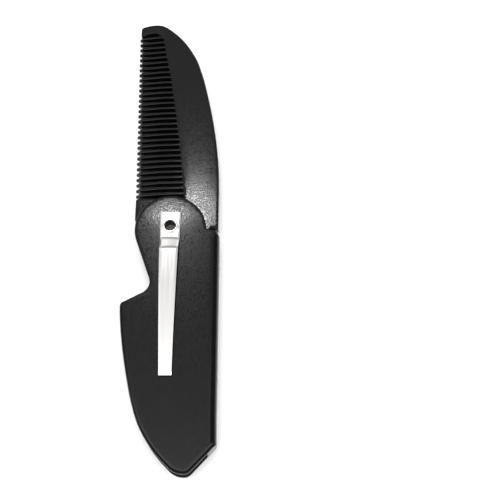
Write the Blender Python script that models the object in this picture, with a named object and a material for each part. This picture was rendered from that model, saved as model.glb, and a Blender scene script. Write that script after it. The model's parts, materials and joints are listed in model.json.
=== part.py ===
"""A folding pocket comb, modelled open: sheath handle, comb blade, spring clip and pivot rivet.

Units are metres. X runs across the comb, Y along it with the comb's tip up, and Z is its thickness.
The back of the handle lies flat on Z = 0, and the origin is at the middle of the open length and width.
Outlines are drawn round the pivot first, and the finished pieces stand on an empty at the pivot.
"""

from math import asin, atan2, cos, pi, radians, sin
from typing import NamedTuple

import bmesh
import bpy
from mathutils import Vector

# Overall sizes, measured from the pivot
REACH_UP = 0.0780            # pivot to the comb's tip
REACH_DOWN = 0.0796          # pivot to the handle's tip
REACH_LEFT = 0.0155          # pivot to the handle's belly
REACH_RIGHT = 0.0161         # pivot to the handle's spine
PIVOT_X = (REACH_LEFT - REACH_RIGHT) / 2
PIVOT_Y = (REACH_DOWN - REACH_UP) / 2
GAP = 0.0002                 # left between pieces that touch
RUNNING_GAP = 0.00008        # round the rivet, which the comb turns on

# Handle
THICKNESS = 0.0100
WALL = 0.0022                # front and back walls
SPINE_FACE = 0.0134          # inner face of the spine wall
HEAD_RADIUS = 0.01175
HEAD_DROP = 0.0006           # centre of the head's arc, below the pivot
LEDGE_INNER = Vector((0.01173, -0.0003))
LEDGE_OUTER = Vector((REACH_RIGHT, -0.0013))
LEDGE_ROUND = 0.0022
NOTCH_CENTRE = Vector((-0.0102, -0.0186))
NOTCH_RADIUS = 0.0040
SHOULDER_HEADING = 207
SHOULDER_ROUND = 0.0014
BELLY_POINTS = (             # the first only steers the curve
    Vector((-0.0156, -0.0190)), Vector((-REACH_LEFT, -0.0272)), Vector((-0.01478, -0.0352)),
    Vector((-0.01363, -0.0430)), Vector((-0.01213, -0.0506)), Vector((-0.01035, -0.0581)),
    Vector((-0.00774, -0.0655)), Vector((-0.00350, -0.0724)),
)
TIP_X = 0.0061
TIP_LEAN_START = -0.0600     # below this the handle leans, so that the back wall reaches past the front wall
TIP_SHIFT = Vector((0.0003, 0.0002))    # how far the tip's front edge is set over
TIP_RADIUS_LEFT = 0.0068
TIP_RADIUS_RIGHT = 0.0029
TIP_HEADING = 318            # where the belly's curve runs into the tip
CUT_ANGLE = 46.5             # slope of the cut from the tip up to the spine


class Ease(NamedTuple):
    """Rounding of an edge: its width on the face and its depth down the side."""

    width: float
    depth: float


EASE_HEAD = Ease(0.0006, 0.0006)
EASE_BELLY = Ease(0.0012, 0.0012)
EASE_SPINE = Ease(0.0027, 0.0040)

# Comb
COMB_THICKNESS = THICKNESS - 2 * WALL - 4 * GAP
COMB_EASE = Ease(0.0009, 0.0009)
TEETH_EASE = Ease(0.00045, 0.0009)
NO_EASE = Ease(0.0, 0.0009)
BACK_EDGE = 0.0156
BACK_POINTS = (              # the first and the last only steer the curve
    Vector((BACK_EDGE, 0.0060)), Vector((BACK_EDGE, 0.0140)), Vector((0.01536, 0.0223)),
    Vector((0.01460, 0.0306)), Vector((0.01340, 0.0388)), Vector((0.01180, 0.0470)),
    Vector((0.00992, 0.0551)), Vector((0.00866, 0.0593)), Vector((0.00720, 0.0634)),
    Vector((0.00520, 0.0671)), Vector((0.00260, 0.0709)), Vector((-0.00085, 0.0745)),
    Vector((-0.00460, 0.0772)), Vector((-0.00810, REACH_UP)), Vector((-0.01200, 0.0776)),
    Vector((-0.01500, 0.0763)),
)
HEEL_Y = 0.0007
HEEL_NOSE = Vector((SPINE_FACE - 2 * GAP, -0.0024))
TANG_RADIUS = 0.0110
TANG_START = 184             # angles of the tang's round end
TANG_END = 318
TANG_EDGE = -0.0122          # plain left edge under the last tooth
TANG_SHOULDER = 0.0110       # height of that edge's top, and its rounding
TANG_SHOULDER_ROUND = 0.0006
TANG_EDGE_FOOT = 0.0038
GUARD_EDGE = -0.0131
GUARD_TOP = 0.0772           # height of the guard's corner, before its rounding
GUARD_ROUND = 0.0011
GUARD_BOTTOM = 0.0740
GUARD_LIP = 0.0012           # width of the guard's foot
FOOT_ROUND = 0.0006
GUARD_ARCH = Vector((-0.0088, 0.0749))
ARCH_FLAT = 0.0014           # half of the flat stretch at the arch's top
ARCH_END = Vector((-0.0060, 0.0734))
ROOT_TOP = 0.0722            # height where the root line starts
TAPER_START = -0.0060        # the guard is full thick here, and thins towards its edge
TAPER_RUN = 0.0080
TAPER_DROP = 0.0016
TOOTH_COUNT = 31
TOOTH_PITCH = 0.0020
TOOTH_FIRST = 0.0125         # height of the lowest tooth
TOOTH_TIP = -0.0122          # tip line at the pivot's height
TIP_LEAN = -0.0172           # slope of the tip line
TOOTH_LEAN = 0.032           # slope of the teeth, whose tips point a little down
TOOTH_POINT = 0.0005         # length of the rounded point
TOOTH_NOSE = 0.0021          # from the tip to where the wedge-shaped nose ends
TOOTH_WAIST = -0.0045        # the teeth are full thick from here to their roots
TOOTH_SINK = 0.0010          # how far a tooth's root runs into the blade
ROOT_AT_PIVOT = 0.00485      # root line: a parabola
ROOT_LEAN = -0.0589
ROOT_BEND = -1.037


class ToothSection(NamedTuple):
    """Half sizes of one cross-section of a tooth."""

    half_height: float       # along the comb, at the mid-plane
    half_land: float         # along the comb, on the outer faces
    half_depth: float        # through the comb


TOOTH_TIP_SECTION = ToothSection(0.00012, 0.00006, 0.00030)
TOOTH_POINT_SECTION = ToothSection(0.00050, 0.00022, 0.00080)
LOW_NOSE_SECTION = ToothSection(0.00064, 0.00056, 0.00205)
HIGH_NOSE_SECTION = ToothSection(0.00060, 0.00030, 0.00150)
TOOTH_WAIST_SECTION = ToothSection(0.00064, 0.00027, COMB_THICKNESS / 2 - 0.0001)

# Pocket clip
CLIP_STOCK = 0.0007
CLIP_CORNER = 0.00012


class ClipStation(NamedTuple):
    """One station of the clip: its place, its two edges, and how far its underside stands off the handle."""

    y: float
    left: float
    right: float
    lift: float


CLIP_STATIONS = (
    ClipStation(0.0051, -0.00345, 0.00350, GAP),
    ClipStation(-0.0037, -0.00325, 0.00325, GAP),
    ClipStation(-0.0044, -0.00325, 0.00318, 0.00036),
    ClipStation(-0.0074, -0.00325, 0.00294, 0.00165),
    ClipStation(-0.0082, -0.00324, 0.00291, 0.00180),
    ClipStation(-0.0092, -0.00322, 0.00287, 0.00178),
    ClipStation(-0.0200, -0.00303, 0.00256, 0.00145),
    ClipStation(-0.0350, -0.00261, 0.00220, 0.00090),
    ClipStation(-0.0486, -0.00216, 0.00203, 0.00042),
    ClipStation(-0.0495, -0.00212, 0.00200, 0.00028),
)

# Pivot rivet
SHANK_RADIUS = 0.00225
BORE_RADIUS = 0.0019
BORE_DEPTH = 0.0042
ROLL_RADIUS = 0.00265
ROLL_HEIGHT = 0.0006
ROLL_EASE = 0.00011
BACK_HEAD_RADIUS = 0.0032
BACK_HEAD_HEIGHT = 0.0007
BACK_HEAD_SINK = 0.0002
BACK_HEAD_EASE = 0.0002
BORE_CONE = 0.0002           # depth of the drill's point
HOLE_RADIUS = SHANK_RADIUS + RUNNING_GAP
ROUND_SIDES = 28


class Rim(NamedTuple):
    """A point of an outline, with the rounding of the edge that leaves it."""

    point: Vector
    ease: Ease


def heading(angle):
    """Unit vector that points along an angle in degrees."""
    return Vector((cos(radians(angle)), sin(radians(angle))))


def arc(centre, radius, start, end, steps):
    """Points along an arc, from one angle to another in degrees."""
    turn = (end - start) / steps
    return [centre + radius * heading(start + turn * i) for i in range(steps + 1)]


def bezier(start, start_control, end_control, end, steps):
    """Points along a cubic curve between two ends."""
    points = []
    for i in range(steps + 1):
        t = i / steps
        points.append((1 - t) ** 3 * start + 3 * (1 - t) ** 2 * t * start_control
                      + 3 * (1 - t) * t ** 2 * end_control + t ** 3 * end)
    return points


def smooth_curve(points, steps):
    """Smooth curve through all the points but the first and the last, with steps between each two."""
    curve = [points[1]]
    for before, start, end, after in zip(points, points[1:], points[2:], points[3:]):
        for i in range(1, steps + 1):
            t = i / steps
            curve.append((2 * start + (end - before) * t + (2 * before - 5 * start + 4 * end - after) * t ** 2
                          + (3 * start - before - 3 * end + after) * t ** 3) / 2)
    return curve


def round_corner(before, corner, after, radius, steps):
    """Arc that rounds a corner between two straight edges."""
    back = (before - corner).normalized()
    on = (after - corner).normalized()
    half = back.angle(on) / 2
    middle = (back + on).normalized()
    centre = corner + middle * radius / sin(half)
    first = corner + back * radius * cos(half) / sin(half) - centre
    last = corner + on * radius * cos(half) / sin(half) - centre
    start = atan2(first.y, first.x)
    turn = (atan2(last.y, last.x) - start + pi) % (2 * pi) - pi
    return [centre + Vector((cos(start + turn * i / steps), sin(start + turn * i / steps))) * radius
            for i in range(steps + 1)]


def cross_tangent(first_centre, first_radius, second_centre, second_radius):
    """Heading of the line that leaves one circle turning left and joins another turning right."""
    between = second_centre - first_centre
    tilt = asin((first_radius + second_radius) / between.length)
    return (atan2(between.y, between.x) + tilt) * 180 / pi % 360


def rims(points, ease, ease_end=None):
    """Gives points a rounding that may change evenly from the first to the last."""
    ease_end = ease_end or ease
    result = []
    for i, point in enumerate(points):
        share = i / max(len(points) - 1, 1)
        result.append(Rim(point, Ease(ease.width + (ease_end.width - ease.width) * share,
                                      ease.depth + (ease_end.depth - ease.depth) * share)))
    return result


def inset(outline, share):
    """Outline moved inwards by a share of each edge's rounding; corners stay mitred."""
    moved = []
    for i, rim in enumerate(outline):
        before = outline[i - 1]
        after = outline[(i + 1) % len(outline)]
        edge_in = (rim.point - before.point).normalized()
        edge_out = (after.point - rim.point).normalized()
        normal_in = Vector((-edge_in.y, edge_in.x))
        normal_out = Vector((-edge_out.y, edge_out.x))
        wide_in = before.ease.width * share
        wide_out = rim.ease.width * share
        cross = normal_in.x * normal_out.y - normal_in.y * normal_out.x
        if abs(cross) > 0.35:
            step = Vector((wide_in * normal_out.y - wide_out * normal_in.y,
                           wide_out * normal_in.x - wide_in * normal_out.x)) / cross
        else:
            step = (normal_in + normal_out).normalized() * (wide_in + wide_out) / 2
        moved.append(rim.point + step)
    return moved


def eased_rings(outline, low, high, angles):
    """Rings from a low face to a high one, with both edges rounded; angle 90 is on the face."""
    depths = [(outline[i - 1].ease.depth + outline[i].ease.depth) / 2 for i in range(len(outline))]
    rings = []
    for face, side in ((low, 1), (high, -1)):
        for angle in angles[::side]:
            points = inset(outline, 1 - cos(radians(angle)))
            rings.append([Vector((p.x, p.y, face + side * depth * (1 - sin(radians(angle)))))
                          for p, depth in zip(points, depths)])
    return rings


def new_object(name, mesh_data, parent, material):
    """Turns a bmesh into an object on its parent, with its faces pointing out."""
    bmesh.ops.recalc_face_normals(mesh_data, faces=mesh_data.faces)
    mesh = bpy.data.meshes.new(name)
    mesh_data.to_mesh(mesh)
    mesh_data.free()
    piece = bpy.data.objects.new(name, mesh)
    bpy.context.scene.collection.objects.link(piece)
    piece.parent = parent
    if material:
        mesh.materials.append(material)
    return piece


def loft(rings):
    """Closed bmesh through rings of equal length, with a flat face on each end."""
    shape = bmesh.new()
    rows = [[shape.verts.new(point) for point in ring] for ring in rings]
    for low, high in zip(rows, rows[1:]):
        for i in range(len(low)):
            j = (i + 1) % len(low)
            shape.faces.new((low[i], low[j], high[j], high[i]))
    shape.faces.new(reversed(rows[0]))
    shape.faces.new(rows[-1])
    return shape


def turned(profile, sides):
    """Closed bmesh turned about Z from a profile of (radius, height) that starts and ends on the axis."""
    shape = bmesh.new()
    bottom = shape.verts.new((0, 0, profile[0][1]))
    top = shape.verts.new((0, 0, profile[-1][1]))
    rows = []
    for radius, height in profile[1:-1]:
        around = [radius * heading(360 * i / sides) for i in range(sides)]
        rows.append([shape.verts.new((p.x, p.y, height)) for p in around])
    for i in range(sides):
        j = (i + 1) % sides
        shape.faces.new((bottom, rows[0][j], rows[0][i]))
        shape.faces.new((top, rows[-1][i], rows[-1][j]))
        for low, high in zip(rows, rows[1:]):
            shape.faces.new((low[i], low[j], high[j], high[i]))
    return shape


def cutter(name, shape, parent):
    """Object used only to cut or to add to another; it is no piece of its own."""
    tool = new_object(name, shape, parent, None)
    tool.hide_render = True
    tool.display_type = 'WIRE'
    return tool


def disc(radius, low, high):
    """Round cutter between two heights."""
    profile = [(0, low), (radius, low), (radius, high), (0, high)]
    return turned(profile, ROUND_SIDES)


def combine(piece, tool, operation):
    """Adds a Boolean to a piece."""
    boolean = piece.modifiers.new(tool.name, 'BOOLEAN')
    boolean.operation = operation
    boolean.solver = 'EXACT'
    boolean.object = tool


def finish(name, colour, roughness, metallic):
    """Principled material of a piece."""
    material = bpy.data.materials.new(name)
    material.use_nodes = True
    shader = material.node_tree.nodes['Principled BSDF']
    shader.inputs['Base Color'].default_value = (*colour, 1)
    shader.inputs['Roughness'].default_value = roughness
    shader.inputs['Metallic'].default_value = metallic
    return material


def handle_outline():
    """Outline of the handle, anticlockwise from the inner end of the ledge."""
    head = Vector((0, -HEAD_DROP))
    slope = cross_tangent(head, HEAD_RADIUS, NOTCH_CENTRE, NOTCH_RADIUS)
    ledge_angle = atan2(LEDGE_INNER.y - head.y, LEDGE_INNER.x) * 180 / pi
    outline = rims(arc(head, HEAD_RADIUS, ledge_angle, slope - 90, 26), EASE_HEAD)
    notch = arc(NOTCH_CENTRE, NOTCH_RADIUS, slope - 270, SHOULDER_HEADING - 270, 9)
    outline += rims(notch, EASE_HEAD)

    run = (notch[-1].x + REACH_LEFT) / -heading(SHOULDER_HEADING).x
    shoulder = notch[-1] + heading(SHOULDER_HEADING) * run
    shoulder_arc = round_corner(notch[-1], shoulder, BELLY_POINTS[1], SHOULDER_ROUND, 4)
    outline += rims(shoulder_arc, EASE_HEAD, EASE_BELLY)

    tip = Vector((TIP_X, -REACH_DOWN))
    left_arc = arc(tip + Vector((0, TIP_RADIUS_LEFT)), TIP_RADIUS_LEFT, TIP_HEADING - 90, 270, 6)
    beyond = left_arc[0] + heading(TIP_HEADING) * TIP_RADIUS_LEFT
    outline += rims(smooth_curve([*BELLY_POINTS, left_arc[0], beyond], 3), EASE_BELLY)
    outline += rims(left_arc[1:], EASE_BELLY)
    right_arc = arc(tip + Vector((0, TIP_RADIUS_RIGHT)), TIP_RADIUS_RIGHT, 270, 270 + CUT_ANGLE, 5)
    outline += rims(right_arc[1:], EASE_BELLY)

    cut = heading(CUT_ANGLE)
    corner = right_arc[-1] + cut * (REACH_RIGHT - right_arc[-1].x) / cut.x
    outline.append(Rim(corner, EASE_SPINE))
    ledge = round_corner(corner, LEDGE_OUTER, LEDGE_INNER, LEDGE_ROUND, 6)
    outline += rims(ledge, EASE_SPINE, EASE_HEAD)
    return outline


def lean_tip(rings):
    """Sets the tip over, evenly from nothing on the back face to the full shift on the front."""
    for ring in rings:
        for point in ring:
            share = max(TIP_LEAN_START - point.y, 0) / (TIP_LEAN_START + REACH_DOWN)
            point.xy += TIP_SHIFT * share * point.z / THICKNESS


def build_handle(pivot, material):
    """The sheath: two walls and a solid spine, open at the head, the left side and the tip."""
    rings = eased_rings(handle_outline(), 0, THICKNESS, (90, 60, 30, 0))
    lean_tip(rings)
    handle = new_object('handle', loft(rings), pivot, material)
    reach = 2 * REACH_DOWN
    channel = [Vector((-reach, -reach)), Vector((SPINE_FACE, -reach)),
               Vector((SPINE_FACE, reach)), Vector((-reach, reach))]
    slot = loft([[Vector((p.x, p.y, height)) for p in channel] for height in (WALL, THICKNESS - WALL)])
    combine(handle, cutter('channel_cut', slot, pivot), 'DIFFERENCE')
    hole = disc(HOLE_RADIUS, -THICKNESS, 2 * THICKNESS)
    combine(handle, cutter('handle_hole_cut', hole, pivot), 'DIFFERENCE')
    recess = disc(BACK_HEAD_RADIUS + GAP, -THICKNESS, BACK_HEAD_SINK + BACK_HEAD_HEIGHT + GAP)
    combine(handle, cutter('handle_recess_cut', recess, pivot), 'DIFFERENCE')


def root_line(y):
    """Where the teeth meet the blade, at a height on the comb."""
    return ROOT_AT_PIVOT + ROOT_LEAN * y + ROOT_BEND * y * y


def comb_outline():
    """Outline of the blade and tang without the teeth, anticlockwise from the heel."""
    back = smooth_curve(BACK_POINTS, 3)
    outline = rims([Vector((BACK_EDGE, HEEL_Y)), *back], COMB_EASE)
    corner = Vector((GUARD_EDGE, GUARD_TOP))
    foot = Vector((GUARD_EDGE, GUARD_BOTTOM))
    lip = foot + Vector((GUARD_LIP, 0))
    outline += rims(round_corner(back[-1], corner, foot, GUARD_ROUND, 4), COMB_EASE)
    outline += rims(round_corner(corner, foot, lip, FOOT_ROUND, 3), TEETH_EASE)
    arch = bezier(lip, GUARD_ARCH - Vector((ARCH_FLAT, 0)), GUARD_ARCH + Vector((ARCH_FLAT, 0)), ARCH_END, 6)
    steps = 14
    heights = [ROOT_TOP + (TANG_SHOULDER - ROOT_TOP) * i / steps for i in range(steps + 1)]
    outline += rims([*arch, *(Vector((root_line(y), y)) for y in heights)], NO_EASE)

    shoulder = Vector((TANG_EDGE, TANG_SHOULDER))
    edge_foot = Vector((TANG_EDGE, TANG_EDGE_FOOT))
    shoulder_arc = round_corner(Vector((0, TANG_SHOULDER)), shoulder, edge_foot, TANG_SHOULDER_ROUND, 3)
    outline += rims([*shoulder_arc, edge_foot], TEETH_EASE)
    outline += rims(arc(Vector((0, 0)), TANG_RADIUS, TANG_START, TANG_END, 18), TEETH_EASE)
    outline += rims([HEEL_NOSE, Vector((HEEL_NOSE.x, HEEL_Y))], TEETH_EASE)
    return outline


def tooth_ring(x, y, section):
    """Six-sided section of a tooth: a land on each face and an edge on the mid-plane above and below."""
    corners = ((section.half_height, 0), (section.half_land, section.half_depth),
               (-section.half_land, section.half_depth), (-section.half_height, 0),
               (-section.half_land, -section.half_depth), (section.half_land, -section.half_depth))
    return [Vector((x, y + rise, THICKNESS / 2 + depth)) for rise, depth in corners]


def nose_section(share):
    """Section at a tooth's nose, from the lowest tooth to the highest."""
    return ToothSection(*(low + (high - low) * share for low, high in zip(LOW_NOSE_SECTION, HIGH_NOSE_SECTION)))


def teeth():
    """All the teeth as one bmesh of separate tapered solids, rooted inside the blade."""
    joined = bmesh.new()
    for i in range(TOOTH_COUNT):
        y = TOOTH_FIRST + i * TOOTH_PITCH
        tip = TOOTH_TIP + TIP_LEAN * y
        root = root_line(y)
        stations = ((tip, TOOTH_TIP_SECTION), (tip + TOOTH_POINT, TOOTH_POINT_SECTION),
                    (tip + TOOTH_NOSE, nose_section(i / (TOOTH_COUNT - 1))),
                    (min(TOOTH_WAIST, root - TOOTH_SINK / 2), TOOTH_WAIST_SECTION),
                    (root + TOOTH_SINK, TOOTH_WAIST_SECTION))
        tooth = loft([tooth_ring(x, y + TOOTH_LEAN * (x - tip), section) for x, section in stations])
        bmesh.ops.recalc_face_normals(tooth, faces=tooth.faces)
        mesh = bpy.data.meshes.new('tooth')
        tooth.to_mesh(mesh)
        tooth.free()
        joined.from_mesh(mesh)
        bpy.data.meshes.remove(mesh)
    return joined


def taper_wedge(face, side):
    """Wedge that thins the guard from one face, out to its edge."""
    start = Vector((TAPER_START, face))
    end = start + Vector((-TAPER_RUN, -side * TAPER_DROP))
    clear = Vector((0, side * COMB_THICKNESS))
    section = [start, end, end + clear, start + clear]
    return loft([[Vector((p.x, y, p.y)) for p in section] for y in (ARCH_END.y - GAP, REACH_UP + GAP)])


def build_comb(pivot, material):
    """The comb blade with its teeth and tang, on its own empty at the hinge."""
    hinge = bpy.data.objects.new('comb_hinge', None)
    bpy.context.scene.collection.objects.link(hinge)
    hinge.parent = pivot
    low = (THICKNESS - COMB_THICKNESS) / 2
    rings = eased_rings(comb_outline(), low, THICKNESS - low, (90, 45, 0))
    comb = new_object('comb_blade', loft(rings), hinge, material)
    combine(comb, cutter('teeth_join', teeth(), hinge), 'UNION')
    combine(comb, cutter('guard_taper_back', taper_wedge(low, -1), hinge), 'DIFFERENCE')
    combine(comb, cutter('guard_taper_front', taper_wedge(THICKNESS - low, 1), hinge), 'DIFFERENCE')
    hole = disc(HOLE_RADIUS, -THICKNESS, 2 * THICKNESS)
    combine(comb, cutter('comb_hole_cut', hole, hinge), 'DIFFERENCE')


def clip_ring(station):
    """Section of the clip's strip at one station, with its corners broken."""
    low = THICKNESS + station.lift
    high = low + CLIP_STOCK
    left, right, cut = station.left, station.right, CLIP_CORNER
    corners = ((right - cut, low), (right, low + cut), (right, high - cut), (right - cut, high),
               (left + cut, high), (left, high - cut), (left, low + cut), (left + cut, low))
    return [Vector((x, station.y, z)) for x, z in corners]


def build_clip(pivot, material):
    """The spring clip: a tapering strip with a joggle below its riveted head."""
    clip = new_object('pocket_clip', loft([clip_ring(station) for station in CLIP_STATIONS]), pivot, material)
    hole = disc(HOLE_RADIUS, 0, 2 * THICKNESS)
    combine(clip, cutter('clip_hole_cut', hole, pivot), 'DIFFERENCE')


def build_rivet(pivot, material):
    """The semi-tubular rivet: a flush head at the back, and a rolled ring over the clip."""
    seat = THICKNESS + GAP + CLIP_STOCK + GAP
    top = seat + ROLL_HEIGHT
    head_low = BACK_HEAD_SINK
    head_high = head_low + BACK_HEAD_HEIGHT
    middle = (ROLL_RADIUS + BORE_RADIUS) / 2
    roll_low = seat + ROLL_HEIGHT / 3
    roll_high = top - 2 * ROLL_EASE
    profile = [
        (0, head_low), (BACK_HEAD_RADIUS - BACK_HEAD_EASE, head_low),
        (BACK_HEAD_RADIUS, head_low + BACK_HEAD_EASE), (BACK_HEAD_RADIUS, head_high),
        (SHANK_RADIUS, head_high), (SHANK_RADIUS, seat), (ROLL_RADIUS - ROLL_EASE, seat),
        (ROLL_RADIUS, roll_low), (ROLL_RADIUS - ROLL_EASE, roll_high), (middle, top),
        (BORE_RADIUS + ROLL_EASE, roll_high), (BORE_RADIUS, roll_low),
        (BORE_RADIUS, top - BORE_DEPTH), (0, top - BORE_DEPTH - BORE_CONE),
    ]
    rivet = new_object('pivot_rivet', turned(profile, ROUND_SIDES), pivot, material)
    rivet.data.shade_smooth()
    rivet.data.set_sharp_from_angle(angle=radians(40))


def main():
    """Clears the scene and builds the four pieces on the pivot."""
    for old in list(bpy.data.objects):
        bpy.data.objects.remove(old, do_unlink=True)
    pivot = bpy.data.objects.new('pivot', None)
    pivot.location = (PIVOT_X, PIVOT_Y, 0)
    bpy.context.scene.collection.objects.link(pivot)
    plastic = finish('black_moulded_plastic', (0.020, 0.020, 0.021), 0.42, 0.0)
    comb_plastic = finish('black_comb_plastic', (0.018, 0.018, 0.019), 0.36, 0.0)
    plated = finish('nickel_plated_steel', (0.72, 0.71, 0.69), 0.22, 1.0)
    rivet_metal = finish('nickel_plated_rivet', (0.70, 0.69, 0.67), 0.26, 1.0)
    build_handle(pivot, plastic)
    build_comb(pivot, comb_plastic)
    build_clip(pivot, plated)
    build_rivet(pivot, rivet_metal)


main()
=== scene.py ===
"""Looks of the folding pocket comb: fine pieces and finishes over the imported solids, with table, lamps and camera.

Sizes in the classes are millimetres round the pivot. The meshes come out in metres, in the row frame.
"""

import json
import logging
from collections import Counter
from collections.abc import Callable, Iterable
from dataclasses import astuple, dataclass, field
from enum import Enum
from math import asin, atan2, cos, degrees, hypot, pi, radians, sin, sqrt, tanh
from typing import Any, Self

import bmesh
import bpy
import numpy as np
from mathutils import Matrix, Vector
from mathutils.geometry import delaunay_2d_cdt


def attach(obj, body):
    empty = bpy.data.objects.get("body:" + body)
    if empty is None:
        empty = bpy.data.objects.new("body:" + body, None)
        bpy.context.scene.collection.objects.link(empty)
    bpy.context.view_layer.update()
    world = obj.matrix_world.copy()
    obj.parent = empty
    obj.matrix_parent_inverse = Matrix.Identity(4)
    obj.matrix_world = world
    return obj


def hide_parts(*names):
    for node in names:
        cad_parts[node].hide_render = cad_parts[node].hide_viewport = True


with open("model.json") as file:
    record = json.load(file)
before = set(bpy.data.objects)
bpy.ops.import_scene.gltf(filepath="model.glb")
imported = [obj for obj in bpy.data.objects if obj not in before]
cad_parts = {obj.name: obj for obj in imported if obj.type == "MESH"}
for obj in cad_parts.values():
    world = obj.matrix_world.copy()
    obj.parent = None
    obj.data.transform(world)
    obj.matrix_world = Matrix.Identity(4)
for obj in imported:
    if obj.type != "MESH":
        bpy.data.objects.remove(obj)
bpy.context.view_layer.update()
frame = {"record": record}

LOG = logging.getLogger("folding_comb")
MM = 0.001
PIVOT = Vector(frame["record"]["behaviour"]["joints"][0]["pos_m"]).xy.to_3d() / MM
THICKNESS = 10.0
HOLE_RADIUS = 2.33
ROUND_SIDES = 72             # of the holes round the pivot
SMOOTH_UP_TO = 32.0          # degrees between two faces that are shaded as one
WELD = 3e-7                  # metres; after a Boolean, points nearer than this are one
SHORTEST_EDGE = 1e-6
MITRE_FROM = 0.35            # sine of the turn from which a corner is mitred
RIM_CLEAR = 0.45             # part of a cap's spacing that stays free of points along its rims
LONGEST_SKIP = 12            # points of a rim that one triangle may skip
SAME_POINT = 1e-7            # in a cap, points nearer than this are one
LONGEST_EDGE = 0.6           # of an outline


class Body(str, Enum):
    """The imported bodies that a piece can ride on."""

    HANDLE = "handle"
    COMB = "comb"


class Slot(str, Enum):
    """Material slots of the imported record."""

    HANDLE_PLASTIC = "handle_plastic"
    COMB_PLASTIC = "comb_plastic"
    CLIP_STEEL = "clip_steel"
    RIVET_STEEL = "rivet_steel"


class Operation(str, Enum):
    """What a Boolean does with its tool."""

    JOIN = "UNION"
    CUT = "DIFFERENCE"


# Curves

def heading(angle: float) -> Vector:
    """Unit vector that points along an angle in degrees."""
    return Vector((cos(radians(angle)), sin(radians(angle))))


def arc(centre: Vector, radius: float, start: float, end: float, steps: int) -> list[Vector]:
    """Points along an arc.

    Args:
        centre: Centre of the arc.
        radius: Its radius.
        start: Angle of the first point, in degrees.
        end: Angle of the last point, in degrees.
        steps: Number of equal steps.

    Returns:
        The points, both ends included.
    """
    return [centre + radius * heading(start + (end - start) * i / steps) for i in range(steps + 1)]


def circle(radius: float, sides: int = ROUND_SIDES) -> list[Vector]:
    """Points of a circle round the pivot."""
    return [radius * heading(360 * i / sides) for i in range(sides)]


def bezier(controls: tuple[Vector, Vector, Vector, Vector], steps: int) -> list[Vector]:
    """Points along a cubic curve.

    Args:
        controls: Start, its control point, the end's control point, and the end.
        steps: Number of steps.

    Returns:
        The points, both ends included.
    """
    points = []
    for i in range(steps + 1):
        t = i / steps
        weights = ((1 - t) ** 3, 3 * (1 - t) ** 2 * t, 3 * (1 - t) * t ** 2, t ** 3)
        points.append(sum((weight * point for weight, point in zip(weights, controls)), Vector((0, 0))))
    return points


def smooth_curve(points: list[Vector], steps: int) -> list[Vector]:
    """Smooth curve through points.

    Args:
        points: Points to pass through; the first and the last only steer it.
        steps: Number of steps between each two points.

    Returns:
        The points of the curve, from the second to the last but one.
    """
    curve = [points[1]]
    for before, start, end, after in zip(points, points[1:], points[2:], points[3:]):
        for i in range(1, steps + 1):
            t = i / steps
            curve.append((2 * start + (end - before) * t + (2 * before - 5 * start + 4 * end - after) * t ** 2
                          + (3 * start - before - 3 * end + after) * t ** 3) / 2)
    return curve


def round_corner(before: Vector, corner: Vector, after: Vector, radius: float, steps: int) -> list[Vector]:
    """Arc that rounds a corner between two straight edges.

    Args:
        before: A point on the edge that comes in.
        corner: The corner.
        after: A point on the edge that goes on.
        radius: Radius of the rounding.
        steps: Number of steps.

    Returns:
        The points of the arc.
    """
    back = (before - corner).normalized()
    on = (after - corner).normalized()
    half = back.angle(on) / 2
    centre = corner + (back + on).normalized() * radius / sin(half)
    first = corner + back * radius * cos(half) / sin(half) - centre
    last = corner + on * radius * cos(half) / sin(half) - centre
    start = atan2(first.y, first.x)
    turn = (atan2(last.y, last.x) - start + pi) % (2 * pi) - pi
    return arc(centre, radius, degrees(start), degrees(start + turn), steps)


def fade(value: float, start: float, end: float) -> float:
    """Smooth step that is 0 at start and 1 at end."""
    share = min(max((value - start) / (end - start), 0.0), 1.0)
    return share * share * (3 - 2 * share)


def within(points: np.ndarray, loops: list[np.ndarray]) -> np.ndarray:
    """Tells which points lie inside a loop and outside the loops in it.

    Args:
        points: Points, one a row.
        loops: Corners of each loop, one a row.

    Returns:
        One truth value for each point.
    """
    ax, ay = np.vstack(loops).T
    bx, by = np.vstack([np.roll(loop, -1, axis=0) for loop in loops]).T
    x, y = points[:, :1], points[:, 1:2]
    spans = (ay > y) != (by > y)
    rise = np.where(by == ay, 1.0, by - ay)
    return np.sum(spans & (x < (bx - ax) * (y - ay) / rise + ax), axis=1) % 2 == 1


def fanned(triangles: list[tuple[int, ...]], loops: list[list[int]]) -> list[tuple[int, ...]]:
    """Splits triangles whose side skips points of a loop that lie in line with it.

    Args:
        triangles: The triangles, as point numbers.
        loops: The closed loops that they fill.

    Returns:
        The triangles, every loop edge being a side of one of them.
    """
    follow = {loop[i - 1]: loop[i] for loop in loops for i in range(len(loop))}
    uses = Counter(frozenset((triangle[i - 1], triangle[i])) for triangle in triangles for i in range(3))
    result = []
    for triangle in triangles:
        fan = [triangle]
        for i in range(3):
            start, end, apex = triangle[i - 2], triangle[i - 1], triangle[i]
            if uses[frozenset((start, end))] > 1 or follow.get(start) == end or follow.get(end) == start:
                continue
            for first, last in ((start, end), (end, start)):
                chain = [first]
                while chain[-1] != last and len(chain) < LONGEST_SKIP and chain[-1] in follow:
                    chain.append(follow[chain[-1]])
                if chain[-1] == last:
                    fan = [(a, b, apex) for a, b in zip(chain, chain[1:])]
        result += fan
    return result


@dataclass(frozen=True)
class Sizes:
    """Sizes that can change evenly into others of their kind."""

    def towards(self, other: Self, share: float) -> Self:
        """The sizes at a share of the way to others."""
        return type(self)(*(a + (b - a) * share for a, b in zip(astuple(self), astuple(other))))


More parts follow.
